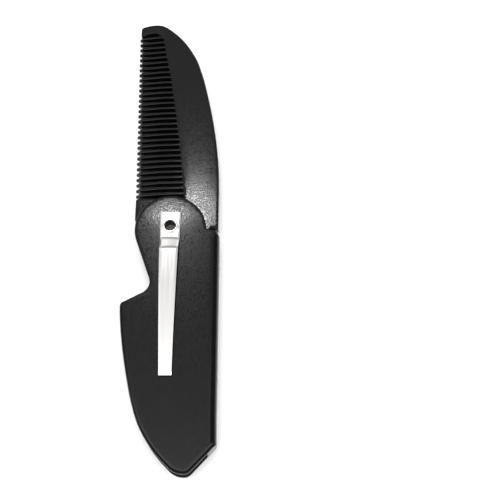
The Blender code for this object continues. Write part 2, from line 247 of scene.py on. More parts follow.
@dataclass(frozen=True)
class Ease(Sizes):
    """Elliptic rounding of an edge: its width on the face and its depth down the side."""

    width: float
    depth: float

    def setback(self, below: float) -> float:
        """How far in from the side the surface lies.

        Args:
            below: Depth below the face.

        Returns:
            The distance from the side.
        """
        if below >= self.depth:
            return 0.0
        return self.width * (1 - sqrt(1 - (1 - below / self.depth) ** 2))


@dataclass
class Outline:
    """Closed anticlockwise outline; each point carries the rounding of the edge that leaves it."""

    points: list[Vector] = field(default_factory=list)
    eases: list[Ease] = field(default_factory=list)

    def add(self, points: Iterable[Vector], ease: Ease, ease_end: Ease | None = None) -> None:
        """Adds points to the outline.

        Args:
            points: The points.
            ease: Rounding at the first of them.
            ease_end: Rounding at the last, where it changes on the way.
        """
        points = list(points)
        for i, point in enumerate(points):
            self.points.append(point)
            self.eases.append(ease.towards(ease_end or ease, i / max(len(points) - 1, 1)))

    def divided(self, longest: float = LONGEST_EDGE) -> "Outline":
        """Divides the long edges.

        Args:
            longest: Length of the longest edge that stays whole.

        Returns:
            Copy of the outline, all of whose edges are shorter.
        """
        result = Outline()
        for i, point in enumerate(self.points):
            on = self.points[(i + 1) % len(self.points)]
            if (on - point).length >= SHORTEST_EDGE:
                parts = int((on - point).length / longest) + 1
                result.add([point.lerp(on, part / parts) for part in range(parts)], self.eases[i])
        return result

    def cut_at_x(self, x: float) -> list[int]:
        """Adds the points where the outline crosses an upright line.

        Args:
            x: Where the line stands.

        Returns:
            The places of the added points in the outline.
        """
        crossings = []
        i = 0
        while i < len(self.points):
            point, on = self.points[i], self.points[(i + 1) % len(self.points)]
            if (point.x - x) * (on.x - x) < 0:
                self.points.insert(i + 1, point.lerp(on, (x - point.x) / (on.x - point.x)))
                self.eases.insert(i + 1, self.eases[i])
                crossings.append(i + 1)
                i += 1
            i += 1
        return crossings

    def rotated(self, first: int) -> "Outline":
        """Copy of the outline that starts at another point."""
        return Outline(self.points[first:] + self.points[:first], self.eases[first:] + self.eases[:first])

    def steps_in(self, widths: list[float]) -> list[Vector]:
        """Works out how to set every edge in; corners stay mitred.

        Args:
            widths: How far each edge goes in.

        Returns:
            The move of each point.
        """
        moves = []
        for i, point in enumerate(self.points):
            edge_in = (point - self.points[i - 1]).normalized()
            edge_out = (self.points[(i + 1) % len(self.points)] - point).normalized()
            normal_in, normal_out = Vector((-edge_in.y, edge_in.x)), Vector((-edge_out.y, edge_out.x))
            cross = normal_in.x * normal_out.y - normal_in.y * normal_out.x
            if abs(cross) > MITRE_FROM:
                moves.append(Vector((widths[i - 1] * normal_out.y - widths[i] * normal_in.y,
                                     widths[i] * normal_in.x - widths[i - 1] * normal_out.x)) / cross)
            else:
                moves.append((normal_in + normal_out).normalized() * (widths[i - 1] + widths[i]) / 2)
        return moves

    def inset(self, below: float) -> list[Vector]:
        """The outline at a depth below the face."""
        moves = self.steps_in([ease.setback(below) for ease in self.eases])
        return [point + move for point, move in zip(self.points, moves)]


def raised(points: Iterable[Vector], height: float) -> list[Vector]:
    """Flat points at a height."""
    return [Vector((point.x, point.y, height)) for point in points]


@dataclass
class Shell:
    """Vertices and faces of one mesh in the making."""

    points: list[Vector] = field(default_factory=list)
    faces: list[tuple[int, ...]] = field(default_factory=list)

    def ring(self, points: Iterable[Vector]) -> list[int]:
        """Adds points and returns their places."""
        start = len(self.points)
        self.points.extend(points)
        return list(range(start, len(self.points)))

    def skin(self, rows: list[list[int]], closed: bool = True) -> None:
        """Joins rows of equal length, each to the next, with four-sided faces.

        Args:
            rows: The rows.
            closed: Whether the rows run round, with a face from the last point to the first.
        """
        for first, second in zip(rows, rows[1:]):
            count = len(first)
            for i in range(count if closed else count - 1):
                j = (i + 1) % count
                self.faces.append((first[i], first[j], second[j], second[i]))

    def cap(self, loops: list[list[int]], height: float, spacing: float) -> None:
        """Fills the flat space inside a loop, and outside any others, with small triangles.

        Args:
            loops: The outer loop, then the holes.
            height: Height of the points that are added.
            spacing: Distance between those points.
        """
        rims = [np.array([self.points[i].xy for i in loop]) for loop in loops]
        on_rim = np.vstack(rims)
        low, high = on_rim.min(0), on_rim.max(0)
        across = np.arange(low[0] + spacing / 2, high[0], spacing)
        along = np.arange(low[1] + spacing / 2, high[1], spacing)
        grid = np.array([(x + (k % 2) * spacing / 2, y) for k, y in enumerate(along) for x in across])
        grid = grid[within(grid, rims)]
        gaps = np.sqrt(((grid[:, None, :] - on_rim[None, :, :]) ** 2).sum(2)).min(1)
        grid = grid[gaps > spacing * RIM_CLEAR]
        edges, start = [], 0
        for loop in loops:
            edges += [(start + i, start + (i + 1) % len(loop)) for i in range(len(loop))]
            start += len(loop)
        points, _, triangles, sources, _, _ = delaunay_2d_cdt(
            [Vector(p) for p in (*on_rim, *grid)], edges, [], 0, SAME_POINT, True)
        known = [i for loop in loops for i in loop]
        places = []
        for point, source in zip(points, sources):
            if source and source[0] < len(known):
                places.append(known[source[0]])
            else:
                places += self.ring([Vector((point.x, point.y, height))])
        middles = np.array([(points[a] + points[b] + points[c]) / 3 for a, b, c in triangles])
        kept = [tuple(places[i] for i in triangle)
                for keep, triangle in zip(within(middles, rims), triangles) if keep]
        self.faces += fanned(kept, loops)

    def bend(self, moved: Callable[[Vector], Vector]) -> None:
        """Moves every point as a function says."""
        self.points = [moved(point) for point in self.points]

    def piece(self, name: str) -> bpy.types.Object:
        """Turns the shell into an object in the row frame, with smooth shading and crisp corners.

        Args:
            name: Name of the object.

        Returns:
            The object.
        """
        mesh = bpy.data.meshes.new(name)
        mesh.from_pydata([(point + PIVOT) * MM for point in self.points], [], self.faces)
        work = bmesh.new()
        work.from_mesh(mesh)
        bmesh.ops.recalc_face_normals(work, faces=work.faces)
        work.to_mesh(mesh)
        work.free()
        mesh.shade_smooth()
        mesh.set_sharp_from_angle(angle=radians(SMOOTH_UP_TO))
        made = bpy.data.objects.new(name, mesh)
        bpy.context.scene.collection.objects.link(made)
        return made


def turned(profile: Iterable[tuple[float, float]], sides: int) -> Shell:
    """Closed solid turned round the pivot.

    Args:
        profile: Radius and height of each point, from the axis to the axis.
        sides: Number of sides.

    Returns:
        The solid's shell.
    """
    shell = Shell()
    (_, low), *sections, (_, high) = profile
    rings = [shell.ring(raised(circle(radius, sides), height)) for radius, height in sections]
    shell.skin(rings)
    for ring, height in ((rings[0], low), (rings[-1], high)):
        hub = shell.ring([Vector((0, 0, height))])[0]
        shell.faces += [(ring[i], ring[(i + 1) % sides], hub) for i in range(sides)]
    return shell


def combine(piece: bpy.types.Object, tool: bpy.types.Object, operation: Operation) -> None:
    """Joins a tool to a piece or cuts it away, welds the result, and removes the tool.

    Args:
        piece: The piece.
        tool: Object that is joined or cut away.
        operation: What to do with it.
    """
    change = piece.modifiers.new("combine", "BOOLEAN")
    change.operation, change.solver, change.object = operation.value, "EXACT", tool
    change.use_self = operation is Operation.JOIN
    shaped = bpy.data.meshes.new_from_object(piece.evaluated_get(bpy.context.evaluated_depsgraph_get()))
    piece.modifiers.clear()
    work = bmesh.new()
    work.from_mesh(shaped)
    bmesh.ops.remove_doubles(work, verts=work.verts, dist=WELD)
    bmesh.ops.dissolve_degenerate(work, edges=work.edges, dist=WELD / 10)
    bmesh.ops.triangulate(work, faces=[face for face in work.faces if len(face.verts) > 4])
    work.to_mesh(shaped)
    work.free()
    piece.data = shaped
    piece.data.set_sharp_from_angle(angle=radians(SMOOTH_UP_TO))
    bpy.data.objects.remove(tool, do_unlink=True)


# Finishes

def linear(code: str) -> tuple[float, float, float, float]:
    """Turns an sRGB colour to the linear values that the shaders take.

    Args:
        code: Hex code of the colour.

    Returns:
        Red, green, blue and alpha.
    """
    shares = [int(code[i:i + 2], 16) / 255 for i in (1, 3, 5)]
    red, green, blue = (s / 12.92 if s <= 0.04045 else ((s + 0.055) / 1.055) ** 2.4 for s in shares)
    return red, green, blue, 1.0


def feed(tree: bpy.types.NodeTree, node: bpy.types.Node, inputs: dict[str | int, Any]) -> None:
    """Links each input to an output, or sets it to a value.

    Args:
        tree: Node tree that takes the links.
        node: Node whose inputs they are.
        inputs: For each input, the output or the value.
    """
    for name, value in inputs.items():
        if isinstance(value, bpy.types.NodeSocket):
            tree.links.new(value, node.inputs[name])
        else:
            node.inputs[name].default_value = value


def add_node(tree: bpy.types.NodeTree, kind: str, inputs: dict[str | int, Any] | None = None,
             **settings: Any) -> bpy.types.Node:
    """Adds a node with its settings and links.

    Args:
        tree: Node tree that takes it.
        kind: Blender's name of the node type.
        inputs: For each input, the output to link or the value to set.
        settings: The node's own settings.

    Returns:
        The node.
    """
    node = tree.nodes.new(kind)
    for name, value in settings.items():
        setattr(node, name, value)
    feed(tree, node, inputs or {})
    return node


def worn(tree: bpy.types.NodeTree, pattern: bpy.types.NodeSocket, span: tuple[float, float],
         roughness: tuple[float, float], relief: float) -> dict[str, bpy.types.NodeSocket]:
    """Lets a pattern change both the gloss and the relief of a surface.

    Args:
        tree: Node tree that takes the nodes.
        pattern: The pattern's value.
        span: Values of the pattern between which the roughness changes.
        roughness: Roughness at the one and at the other.
        relief: Height of the relief, in millimetres.

    Returns:
        What to feed to the shader.
    """
    gloss = add_node(tree, "ShaderNodeMapRange", {"Value": pattern, "From Min": span[0], "From Max": span[1],
                                                 "To Min": roughness[0], "To Max": roughness[1]})
    bump = add_node(tree, "ShaderNodeBump", {"Height": pattern, "Strength": 1.0, "Distance": relief * MM})
    return {"Roughness": gloss.outputs["Result"], "Normal": bump.outputs["Normal"]}


@dataclass(frozen=True)
class Finish:
    """What all finishes share: a name, and nodes that feed one Principled shader."""

    name: str

    def surface(self, tree: bpy.types.NodeTree) -> dict[str, Any]:
        """Adds the finish's own nodes and returns what to feed to the shader."""
        raise NotImplementedError

    def build(self) -> bpy.types.Material:
        """Builds the material.

        Returns:
            The material.
        """
        material = bpy.data.materials.new(self.name)
        material.use_nodes = True
        tree = material.node_tree
        feed(tree, tree.nodes["Principled BSDF"], self.surface(tree))
        return material


@dataclass(frozen=True)
class SparkErodedPlastic(Finish):
    """Black polystyrene-type plastic, injection moulded in a spark-eroded steel tool.

    The tool's fine pits speckle the surface where a lamp is mirrored and leave it an even satin elsewhere.
    """

    colour: str = "#09090a"
    colour_worn: str = "#0f0f10"
    ior: float = 1.50
    specular: float = 0.18
    pits: tuple[float, float] = (0.35, 0.75)    # distance from a pit's middle where it starts to end, and ends
    roughness_pit: float = 0.20
    roughness_land: float = 0.07     # between the pits
    grain: float = 0.40          # real pits are about 0.05 mm; drawn coarser, so that they show
    relief: float = 0.0042
    cloud: float = 5.0           # slow changes of tone from the flow of the melt

    def surface(self, tree: bpy.types.NodeTree) -> dict[str, Any]:
        """Adds the pits and the clouds of tone.

        Args:
            tree: Node tree that takes the nodes.

        Returns:
            What to feed to the shader.
        """
        place = add_node(tree, "ShaderNodeTexCoord").outputs["Object"]
        metric = add_node(tree, "ShaderNodeVectorMath", {0: place, "Scale": 1 / MM}, operation="SCALE").outputs[0]
        pits = add_node(tree, "ShaderNodeTexVoronoi", {"Vector": metric, "Scale": 1 / self.grain}).outputs["Distance"]
        flow = add_node(tree, "ShaderNodeTexNoise", {"Vector": metric, "Scale": 1 / self.cloud, "Detail": 3.0})
        tone = add_node(tree, "ShaderNodeMix", {"Factor": flow.outputs["Fac"], "A": linear(self.colour),
                                               "B": linear(self.colour_worn)}, data_type="RGBA")
        return {"Base Color": tone.outputs["Result"], "IOR": self.ior, "Specular IOR Level": self.specular,
                **worn(tree, pits, self.pits, (self.roughness_pit, self.roughness_land), self.relief)}


@dataclass(frozen=True)
class RolledNickel(Finish):
    """Nickel-plated spring steel, cold rolled along the strip.

    The plate is bright like a mirror, and the roll's fine lines under it draw reflections out across the strip.
    """

    colour: str = "#cecdcb"
    colour_dull: str = "#c9c8c6"
    lines: tuple[float, float] = (0.3, 0.7)
    roughness: tuple[float, float] = (0.119, 0.168)
    line: float = 0.35           # real rolling lines are about 0.03 mm apart; drawn coarser, so that they show
    line_length: float = 14.0
    relief: float = 0.0005

    def surface(self, tree: bpy.types.NodeTree) -> dict[str, Any]:
        """Adds the rolling lines.

        Args:
            tree: Node tree that takes the nodes.

        Returns:
            What to feed to the shader.
        """
        place = add_node(tree, "ShaderNodeTexCoord").outputs["Object"]
        drawn = add_node(tree, "ShaderNodeMapping",
                         {"Vector": place, "Scale": (1 / MM / self.line, 1 / MM / self.line_length, 1 / MM)})
        lines = add_node(tree, "ShaderNodeTexNoise", {"Vector": drawn.outputs[0], "Scale": 1.0, "Detail": 3.0})
        tone = add_node(tree, "ShaderNodeMix", {"Factor": lines.outputs["Fac"], "A": linear(self.colour),
                                               "B": linear(self.colour_dull)}, data_type="RGBA")
        return {"Base Color": tone.outputs["Result"], "Metallic": 1.0,
                **worn(tree, lines.outputs["Fac"], self.lines, self.roughness, self.relief)}


@dataclass(frozen=True)
class TurnedNickel(Finish):
    """Nickel-plated rivet steel, drawn and then rolled over by the riveting punch.

    The punch leaves fine rings round the hole, bright on the roll and dull down in the bore, whose copy of the finish
    is also painted darker as painted shade.
    """

    colour: str = "#dbdad8"
    rings: tuple[float, float] = (0.3, 0.7)
    roughness: tuple[float, float] = (0.112, 0.24)
    ring: float = 0.16           # width of a punch mark
    relief: float = 0.002

    def surface(self, tree: bpy.types.NodeTree) -> dict[str, Any]:
        """Adds the punch's rings.

        Args:
            tree: Node tree that takes the nodes.

        Returns:
            What to feed to the shader.
        """
        place = add_node(tree, "ShaderNodeTexCoord").outputs["Object"]
        centred = add_node(tree, "ShaderNodeVectorMath", {0: place, 1: PIVOT * MM}, operation="SUBTRACT").outputs[0]
        flat = add_node(tree, "ShaderNodeVectorMath", {0: centred, 1: (1, 1, 0)}, operation="MULTIPLY").outputs[0]
        radius = add_node(tree, "ShaderNodeVectorMath", {0: flat}, operation="LENGTH").outputs["Value"]
        rings = add_node(tree, "ShaderNodeTexNoise", {"W": radius, "Scale": 1 / MM / self.ring, "Detail": 2.0},
                         noise_dimensions="1D")
        return {"Base Color": linear(self.colour), "Metallic": 1.0,
                **worn(tree, rings.outputs["Fac"], self.rings, self.roughness, self.relief)}


def dress(piece: bpy.types.Object, finish: Finish, body: Body, node: str) -> bpy.types.Object:
    """Gives a piece its finish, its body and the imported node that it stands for.

    Args:
        piece: The piece.
        finish: Its finish.
        body: Body that it rides on.
        node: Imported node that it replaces.

    Returns:
        The piece.
    """
    piece.data.materials.append(finish.build())
    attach(piece, body.value)
    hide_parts(node)
    LOG.info("%s: %d faces, rides on %s, replaces %s", piece.name, len(piece.data.polygons), body.value, node)
    return piece


# Handle

@dataclass
class Sheath:
    """The handle: two thin walls and a solid spine, open at the head, the left side and the tip."""

    wall: float = 2.2
    spine_face: float = 13.4
    reach_down: float = 79.6
    reach_left: float = 15.5
    reach_right: float = 16.1
    head_radius: float = 11.75
    head_drop: float = 0.6
    ledge_inner: tuple[float, float] = (11.73, -0.3)
    ledge_drop: float = 1.3
    ledge_round: float = 2.2
    notch_centre: tuple[float, float] = (-10.2, -18.6)
    notch_radius: float = 4.0
    shoulder_heading: float = 207.0
    shoulder_round: float = 1.4
    belly: tuple[tuple[float, float], ...] = (
        (-15.6, -19.0), (-15.5, -27.2), (-14.78, -35.2), (-13.63, -43.0), (-12.13, -50.6), (-10.35, -58.1),
        (-7.74, -65.5), (-3.50, -72.4))
    tip_x: float = 6.1
    tip_radius_left: float = 6.8
    tip_radius_right: float = 2.9
    tip_heading: float = 318.0
    cut_angle: float = 46.5
    tip_lean_start: float = -60.0    # below this the back wall reaches a little past the front wall
    tip_shift: tuple[float, float] = (0.3, 0.2)
    ease_head: Ease = Ease(0.6, 0.6)
    ease_belly: Ease = Ease(1.2, 1.2)
    ease_spine: Ease = Ease(2.7, 2.9)
    ease_depths: tuple[float, ...] = (   # below each face, down to where the mouth's rounding starts
        0, 0.009, 0.02, 0.036, 0.06, 0.09, 0.13, 0.18, 0.24, 0.3, 0.37, 0.45, 0.53, 0.6, 0.7, 0.8, 0.9, 1.0, 1.1,
        1.2, 1.3, 1.4)
    spine_heights: tuple[float, ...] = (7.3, 6.6, 6.0, 5.0, 4.0, 3.4, 2.7)
    mouth_round: float = 0.8
    crown_radius: float = 1000.0  # of the front, from side to side
    crown_summit: float = 4.4     # from here the front falls off both ways along the handle
    crown_slope: float = 0.014
    crown_turn: float = 4.0
    crown_reach: float = 26.0
    crown_depth: float = 3.0      # the crown fades out this far below the front
    recess_radius: float = 3.4
    recess_depth: float = 1.1
    front_spacing: float = 0.8    # of points on the front, where the crown shows
    back_spacing: float = 2.0
    channel_spacing: float = 3.0
    finish: Finish = SparkErodedPlastic("black_moulded_handle_plastic")

    def outline(self) -> Outline:
        """Draws the handle's outline.

        Returns:
            The outline, anticlockwise from the inner end of the ledge.
        """
        drawn = Outline()
        head = Vector((0, -self.head_drop))
        notch_centre = Vector(self.notch_centre)
        between = notch_centre - head
        slope = degrees(atan2(between.y, between.x)
                        + asin((self.head_radius + self.notch_radius) / between.length)) % 360
        ledge_inner = Vector(self.ledge_inner)
        ledge_angle = degrees(atan2(ledge_inner.y - head.y, ledge_inner.x))
        drawn.add(arc(head, self.head_radius, ledge_angle, slope - 90, 130), self.ease_head)
        notch = arc(notch_centre, self.notch_radius, slope - 270, self.shoulder_heading - 270, 36)
        drawn.add(notch, self.ease_head)

        belly = [Vector(point) for point in self.belly]
        run = (notch[-1].x + self.reach_left) / -heading(self.shoulder_heading).x
        shoulder = notch[-1] + heading(self.shoulder_heading) * run
        drawn.add(round_corner(notch[-1], shoulder, belly[1], self.shoulder_round, 14), self.ease_head, self.ease_belly)

        tip = Vector((self.tip_x, -self.reach_down))
        left_arc = arc(tip + Vector((0, self.tip_radius_left)), self.tip_radius_left, self.tip_heading - 90, 270, 20)
        beyond = left_arc[0] + heading(self.tip_heading) * self.tip_radius_left
        drawn.add(smooth_curve([*belly, left_arc[0], beyond], 14), self.ease_belly)
        drawn.add(left_arc[1:], self.ease_belly)
        right_arc = arc(tip + Vector((0, self.tip_radius_right)), self.tip_radius_right, 270, 270 + self.cut_angle, 16)
        drawn.add(right_arc[1:], self.ease_belly)

        cut = heading(self.cut_angle)
        corner = right_arc[-1] + cut * (self.reach_right - right_arc[-1].x) / cut.x
        ledge_outer = Vector((self.reach_right, -self.ledge_drop))
        drawn.add([corner], self.ease_spine)
        drawn.add(round_corner(corner, ledge_outer, ledge_inner, self.ledge_round, 20), self.ease_spine, self.ease_head)
        return drawn.divided()

    def settled(self, point: Vector) -> Vector:
        """Crowns the front, whose face falls away from the pivot, and sets the tip's front edge over.

        Args:
            point: A point of the plain handle.

        Returns:
            Where it goes.
        """
        along = self.crown_reach * tanh((point.y - self.crown_summit) / self.crown_reach)
        fall = (point.x ** 2 / (2 * self.crown_radius)
                + self.crown_slope * (hypot(along, self.crown_turn) - self.crown_turn))
        share = max(self.tip_lean_start - point.y, 0) / (self.tip_lean_start + self.reach_down) * point.z / THICKNESS
        return point + Vector((*(shift * share for shift in self.tip_shift),
                               -fall * fade(point.z, THICKNESS - self.crown_depth, THICKNESS)))

    def add_lip(self, shell: Shell, outline: Outline, edge: list[int], face: float, side: int) -> list[list[int]]:
        """Adds the rounded inner edge of one wall along the channel's mouth.

        Args:
            shell: Shell that takes it.
            outline: The handle's outline.
            edge: The wall's outer edge along the mouth.
            face: Height of the wall's inner face.
            side: 1 for the front wall and -1 for the back wall.

        Returns:
            Its rows, from the edge in to the face.
        """
        mouth = len(edge)
        moves = outline.steps_in([1.0] * len(outline.points))
        moves[0], moves[mouth - 1] = Vector((0, -1.0)), Vector((0, 1.0))
        rows = [edge]
        for angle in (15, 30, 45, 60, 75, 90):
            height = face + side * self.mouth_round * (1 - sin(radians(angle)))
            row = [outline.points[i] + moves[i] * self.mouth_round * (1 - cos(radians(angle))) for i in range(mouth)]
            rows.append(shell.ring(raised(row, height)))
        shell.skin(rows, closed=False)
        return rows

    def build(self) -> bpy.types.Object:
        """Builds and dresses the handle.

        Returns:
            The handle.
        """
        outline = self.outline()
        crossings = outline.cut_at_x(self.spine_face)
        outline = outline.rotated(crossings[-1])
        count = len(outline.points)
        foot = (crossings[0] - crossings[-1]) % count
        shell = Shell()
        front = [shell.ring(raised(outline.inset(depth), THICKNESS - depth)) for depth in self.ease_depths]
        back = [shell.ring(raised(outline.inset(depth), depth)) for depth in self.ease_depths]
        shell.skin(front)
        shell.skin(back)

        spine = [*range(foot, count), 0]
        strips = [[front[-1][i] for i in spine]]
        for height in self.spine_heights:
            points = raised(outline.inset(min(height, THICKNESS - height)), height)
            strips.append(shell.ring(points[i] for i in spine))
        strips.append([back[-1][i] for i in spine])
        shell.skin(strips, closed=False)

        front_lip = self.add_lip(shell, outline, front[-1][:foot + 1], THICKNESS - self.wall, 1)
        back_lip = self.add_lip(shell, outline, back[-1][:foot + 1], self.wall, -1)
        channel_floor = [row[0] for row in front_lip] + [row[-1] for row in reversed(front_lip)]
        channel_floor += [strip[0] for strip in strips[1:-1]]
        channel_floor += [row[-1] for row in back_lip] + [row[0] for row in reversed(back_lip)]
        channel_floor += [strip[-1] for strip in reversed(strips[1:-1])]
        shell.faces.append(tuple(channel_floor))

        front_bore, inner_front, inner_back, bore_end = (
            shell.ring(raised(circle(HOLE_RADIUS), height))
            for height in (THICKNESS, THICKNESS - self.wall, self.wall, self.recess_depth))
        recess = [shell.ring(raised(circle(self.recess_radius), height)) for height in (self.recess_depth, 0)]
        shell.skin([front_bore, inner_front])
        shell.skin([inner_back, bore_end, *recess])
        shell.cap([front[0], front_bore], THICKNESS, self.front_spacing)
        shell.cap([front_lip[-1], inner_front], THICKNESS - self.wall, self.channel_spacing)
        shell.cap([back_lip[-1], inner_back], self.wall, self.channel_spacing)
        shell.cap([back[0], recess[1]], 0, self.back_spacing)
        shell.bend(self.settled)
        return dress(shell.piece("sheath_handle"), self.finish, Body.HANDLE, "handle")


# Comb

@dataclass(frozen=True)
class ToothSection(Sizes):
    """Half sizes of one cross-section of a tooth."""

    half_height: float
    half_land: float
    half_depth: float

    def points(self, spread: float, limit: float, corner: float = 0.05,
               bulge: float = 0.02) -> list[tuple[float, float]]:
        """Corners of the section, as rise and depth.

        Args:
            spread: Share by which the section widens to the limit, at the root's fillet.
            limit: Half of the tooth pitch.
            corner: Rounding of the land's edges.
            bulge: How far the flanks swell in the middle.

        Returns:
            The corners, going round.
        """
        h, l, d = self.half_height, self.half_land, self.half_depth
        c = min(corner, l / 2)
        # from the flank's middle over the land's rounded edge to the land, whose middle stands a little proud
        quarter = [(h, 0.0), ((h + l) / 2 + bulge, d / 2), (l + c, d - 2 * c), (l + c * 0.35, d - c * 0.5), (l - c, d)]
        quarter = [(rise + (limit - rise) * spread, depth) for rise, depth in quarter]
        upper = quarter + [(0.0, d + 0.2 * c)] + [(-rise, depth) for rise, depth in reversed(quarter)]
        return upper + [(rise, -depth) for rise, depth in reversed(upper[1:-1])]


@dataclass
class FineComb:
    """The comb blade with its guard, its 31 teeth and its tang."""

    half_thickness: float = 2.4
    ease: Ease = Ease(0.4, 0.6)
    ease_foot: Ease = Ease(0.12, 0.2)
    ease_teeth: Ease = Ease(0.45, 0.9)
    ease_arch: Ease = Ease(0.25, 0.3)
    ease_root: Ease = Ease(0.05, 0.05)
    ease_depths: tuple[float, ...] = (
        0, 0.009, 0.03, 0.06, 0.1, 0.16, 0.23, 0.3, 0.4, 0.52, 0.65, 0.78, 0.9, 1.4, 2.0)
    back_edge: float = 15.6
    back: tuple[tuple[float, float], ...] = (
        (15.6, 6.0), (15.6, 14.0), (15.36, 22.3), (14.60, 30.6), (13.40, 38.8), (11.80, 47.0), (9.92, 55.1),
        (8.66, 59.3), (7.20, 63.4), (5.20, 67.1), (2.60, 70.9), (-0.85, 74.5), (-4.60, 77.2), (-8.10, 78.0),
        (-12.00, 77.6), (-15.00, 76.3))
    foot_end: float = 26.0       # the back edge is crisp at its foot and full round from here on
    heel_y: float = 0.7
    heel_nose: tuple[float, float] = (13.0, -2.4)
    tang_radius: float = 11.0
    tang_angles: tuple[float, float] = (184.0, 318.0)
    tang_edge: float = -12.2
    tang_shoulder: float = 11.0
    tang_shoulder_round: float = 0.6
    tang_edge_foot: float = 3.8
    guard_edge: float = -13.1
    guard_top: float = 77.2
    guard_round: float = 1.1
    guard_bottom: float = 74.0
    guard_lip: float = 1.2
    foot_round: float = 0.6
    guard_arch: tuple[float, float] = (-8.8, 74.9)
    arch_flat: float = 1.4
    arch_end: tuple[float, float] = (-6.0, 73.4)
    arch_draft: float = 0.13     # the arch's wall comes nearer to the teeth towards the back
    arch_wall: float = 0.2       # the wall is what lies this far left of the arch's end
    guard_taper: float = 0.2     # how fast the guard thins towards its edge
    guard_start: float = 0.5     # it starts to thin this far right of the arch's end
    guard_run: float = 1.0
    root_top: float = 72.2
    tooth_count: int = 31
    tooth_pitch: float = 2.0
    tooth_first: float = 12.5
    tooth_tip: float = -12.2
    tip_lean: float = -0.0172
    tooth_lean: float = 0.032    # slope of the teeth, whose tips point a little down
    tooth_point: float = 0.5     # length of the rounded point
    tooth_nose: tuple[float, float] = (1.7, 1.1)    # from the tip to the nose's end, lowest and highest tooth
    tooth_waist: float = -4.5    # the teeth are full thick from here to their roots
    waist_gap: float = 0.5       # least length from there to the root
    tooth_sink: float = 0.4      # how far the teeth run into the blade
    tooth_lap: float = 0.01      # how far the roots run into one another
    gap_round: float = 0.32
    root_curve: tuple[float, float, float] = (4.85, -0.0589, -0.001037)
    tip_section: ToothSection = ToothSection(0.12, 0.06, 0.30)
    point_section: ToothSection = ToothSection(0.56, 0.28, 0.80)
    low_nose_section: ToothSection = ToothSection(0.64, 0.56, 2.05)
    high_nose_section: ToothSection = ToothSection(0.60, 0.32, 1.40)
    waist_section: ToothSection = ToothSection(0.64, 0.26, 2.35)
    sunk_section: ToothSection = ToothSection(0.6, 0.5, 2.2)
    thin_from: tuple[float, float] = (12.0, 24.0)   # heights between which the blade starts to be thinner at its edges
    edge_fall: float = 0.03      # the faces fall a little towards the back edge and the root line
    edge_run: float = 4.7
    root_fall: float = 0.05
    root_run: float = 3.0
    crown_radius: float = 2000.0
    crown_summit: float = 8.0
    lean: float = 0.012          # the comb sits loose on its rivet, back edge up
    face_spacing: float = 0.8
    finish: Finish = SparkErodedPlastic("black_moulded_comb_plastic", roughness_pit=0.17, roughness_land=0.06)

    def root_line(self, y: float) -> float:
        """Where the teeth meet the blade, at a height on the comb."""
        start, lean, curve = self.root_curve
        return start + lean * y + curve * y * y

    def outline(self, root_steps: int = 60) -> Outline:
        """Draws the blade and tang without the teeth.

        Args:
            root_steps: Number of steps along the root line.

        Returns:
            The outline, anticlockwise from the heel.
        """
        drawn = Outline()
        back = smooth_curve([Vector(point) for point in self.back], 14)
        foot_end = next(i for i, point in enumerate(back) if point.y > self.foot_end)
        drawn.add([Vector((self.back_edge, self.heel_y)), *back[:foot_end]], self.ease_foot, self.ease)
        drawn.add(back[foot_end:], self.ease)
        corner = Vector((self.guard_edge, self.guard_top))
        foot = Vector((self.guard_edge, self.guard_bottom))
        lip = foot + Vector((self.guard_lip, 0))
        drawn.add(round_corner(back[-1], corner, foot, self.guard_round, 12), self.ease)
        drawn.add(round_corner(corner, foot, lip, self.foot_round, 8), self.ease_teeth)
        arch, flat = Vector(self.guard_arch), Vector((self.arch_flat, 0))
        drawn.add(bezier((lip, arch - flat, arch + flat, Vector(self.arch_end)), 20), self.ease_arch)
        heights = [self.root_top + (self.tang_shoulder - self.root_top) * i / root_steps for i in range(root_steps + 1)]
        drawn.add((Vector((self.root_line(y), y)) for y in heights), self.ease_root)
        shoulder = Vector((self.tang_edge, self.tang_shoulder))
        edge_foot = Vector((self.tang_edge, self.tang_edge_foot))
        drawn.add(round_corner(Vector((0, self.tang_shoulder)), shoulder, edge_foot, self.tang_shoulder_round, 8),
                  self.ease_teeth)
        drawn.add([edge_foot], self.ease_teeth)
        drawn.add(arc(Vector((0, 0)), self.tang_radius, *self.tang_angles, 70), self.ease_teeth, self.ease_foot)
        nose = Vector(self.heel_nose)
        drawn.add([nose, Vector((nose.x, self.heel_y))], self.ease_foot)
        return drawn.divided()

    def back_line(self, y: float) -> float:
        """Where the back edge is.

        Args:
            y: A height on the comb.

        Returns:
            Its place across the comb.
        """
        for (x0, y0), (x1, y1) in zip(self.back[1:], self.back[2:]):
            if y <= y1:
                return x0 + (x1 - x0) * max(y - y0, 0) / (y1 - y0)
        return self.back[-1][0]

    def thinned(self, point: Vector) -> Vector:
        """Thins the blade towards its edges and the guard towards its end, and slopes the arch's wall.

        Args:
            point: A point of the plain blade.

        Returns:
            Where it goes.
        """
        upper = fade(point.y, *self.thin_from)
        from_back = max(self.back_line(point.y) - point.x, 0)
        from_root = max(point.x - self.root_line(point.y), 0)
        fall = upper * self.edge_fall * max(1 - from_back / self.edge_run, 0) ** 2
        fall += upper * self.root_fall * max(1 - from_root / self.root_run, 0) ** 2
        fall += (point.x - self.crown_summit) ** 2 / (2 * self.crown_radius)
        arch_x, arch_y = self.arch_end
        if point.y > self.root_top:
            out = max(arch_x + self.guard_start - point.x, 0)
            fall += self.guard_taper * out * out / (out + self.guard_run)
        depth = point.z - THICKNESS / 2
        in_arch = point.x < arch_x - self.arch_wall and arch_y < point.y < self.guard_arch[1]
        nearer = self.arch_draft * (self.half_thickness - depth) if in_arch else 0.0
        return point - Vector((0, nearer, fall * depth / self.half_thickness))

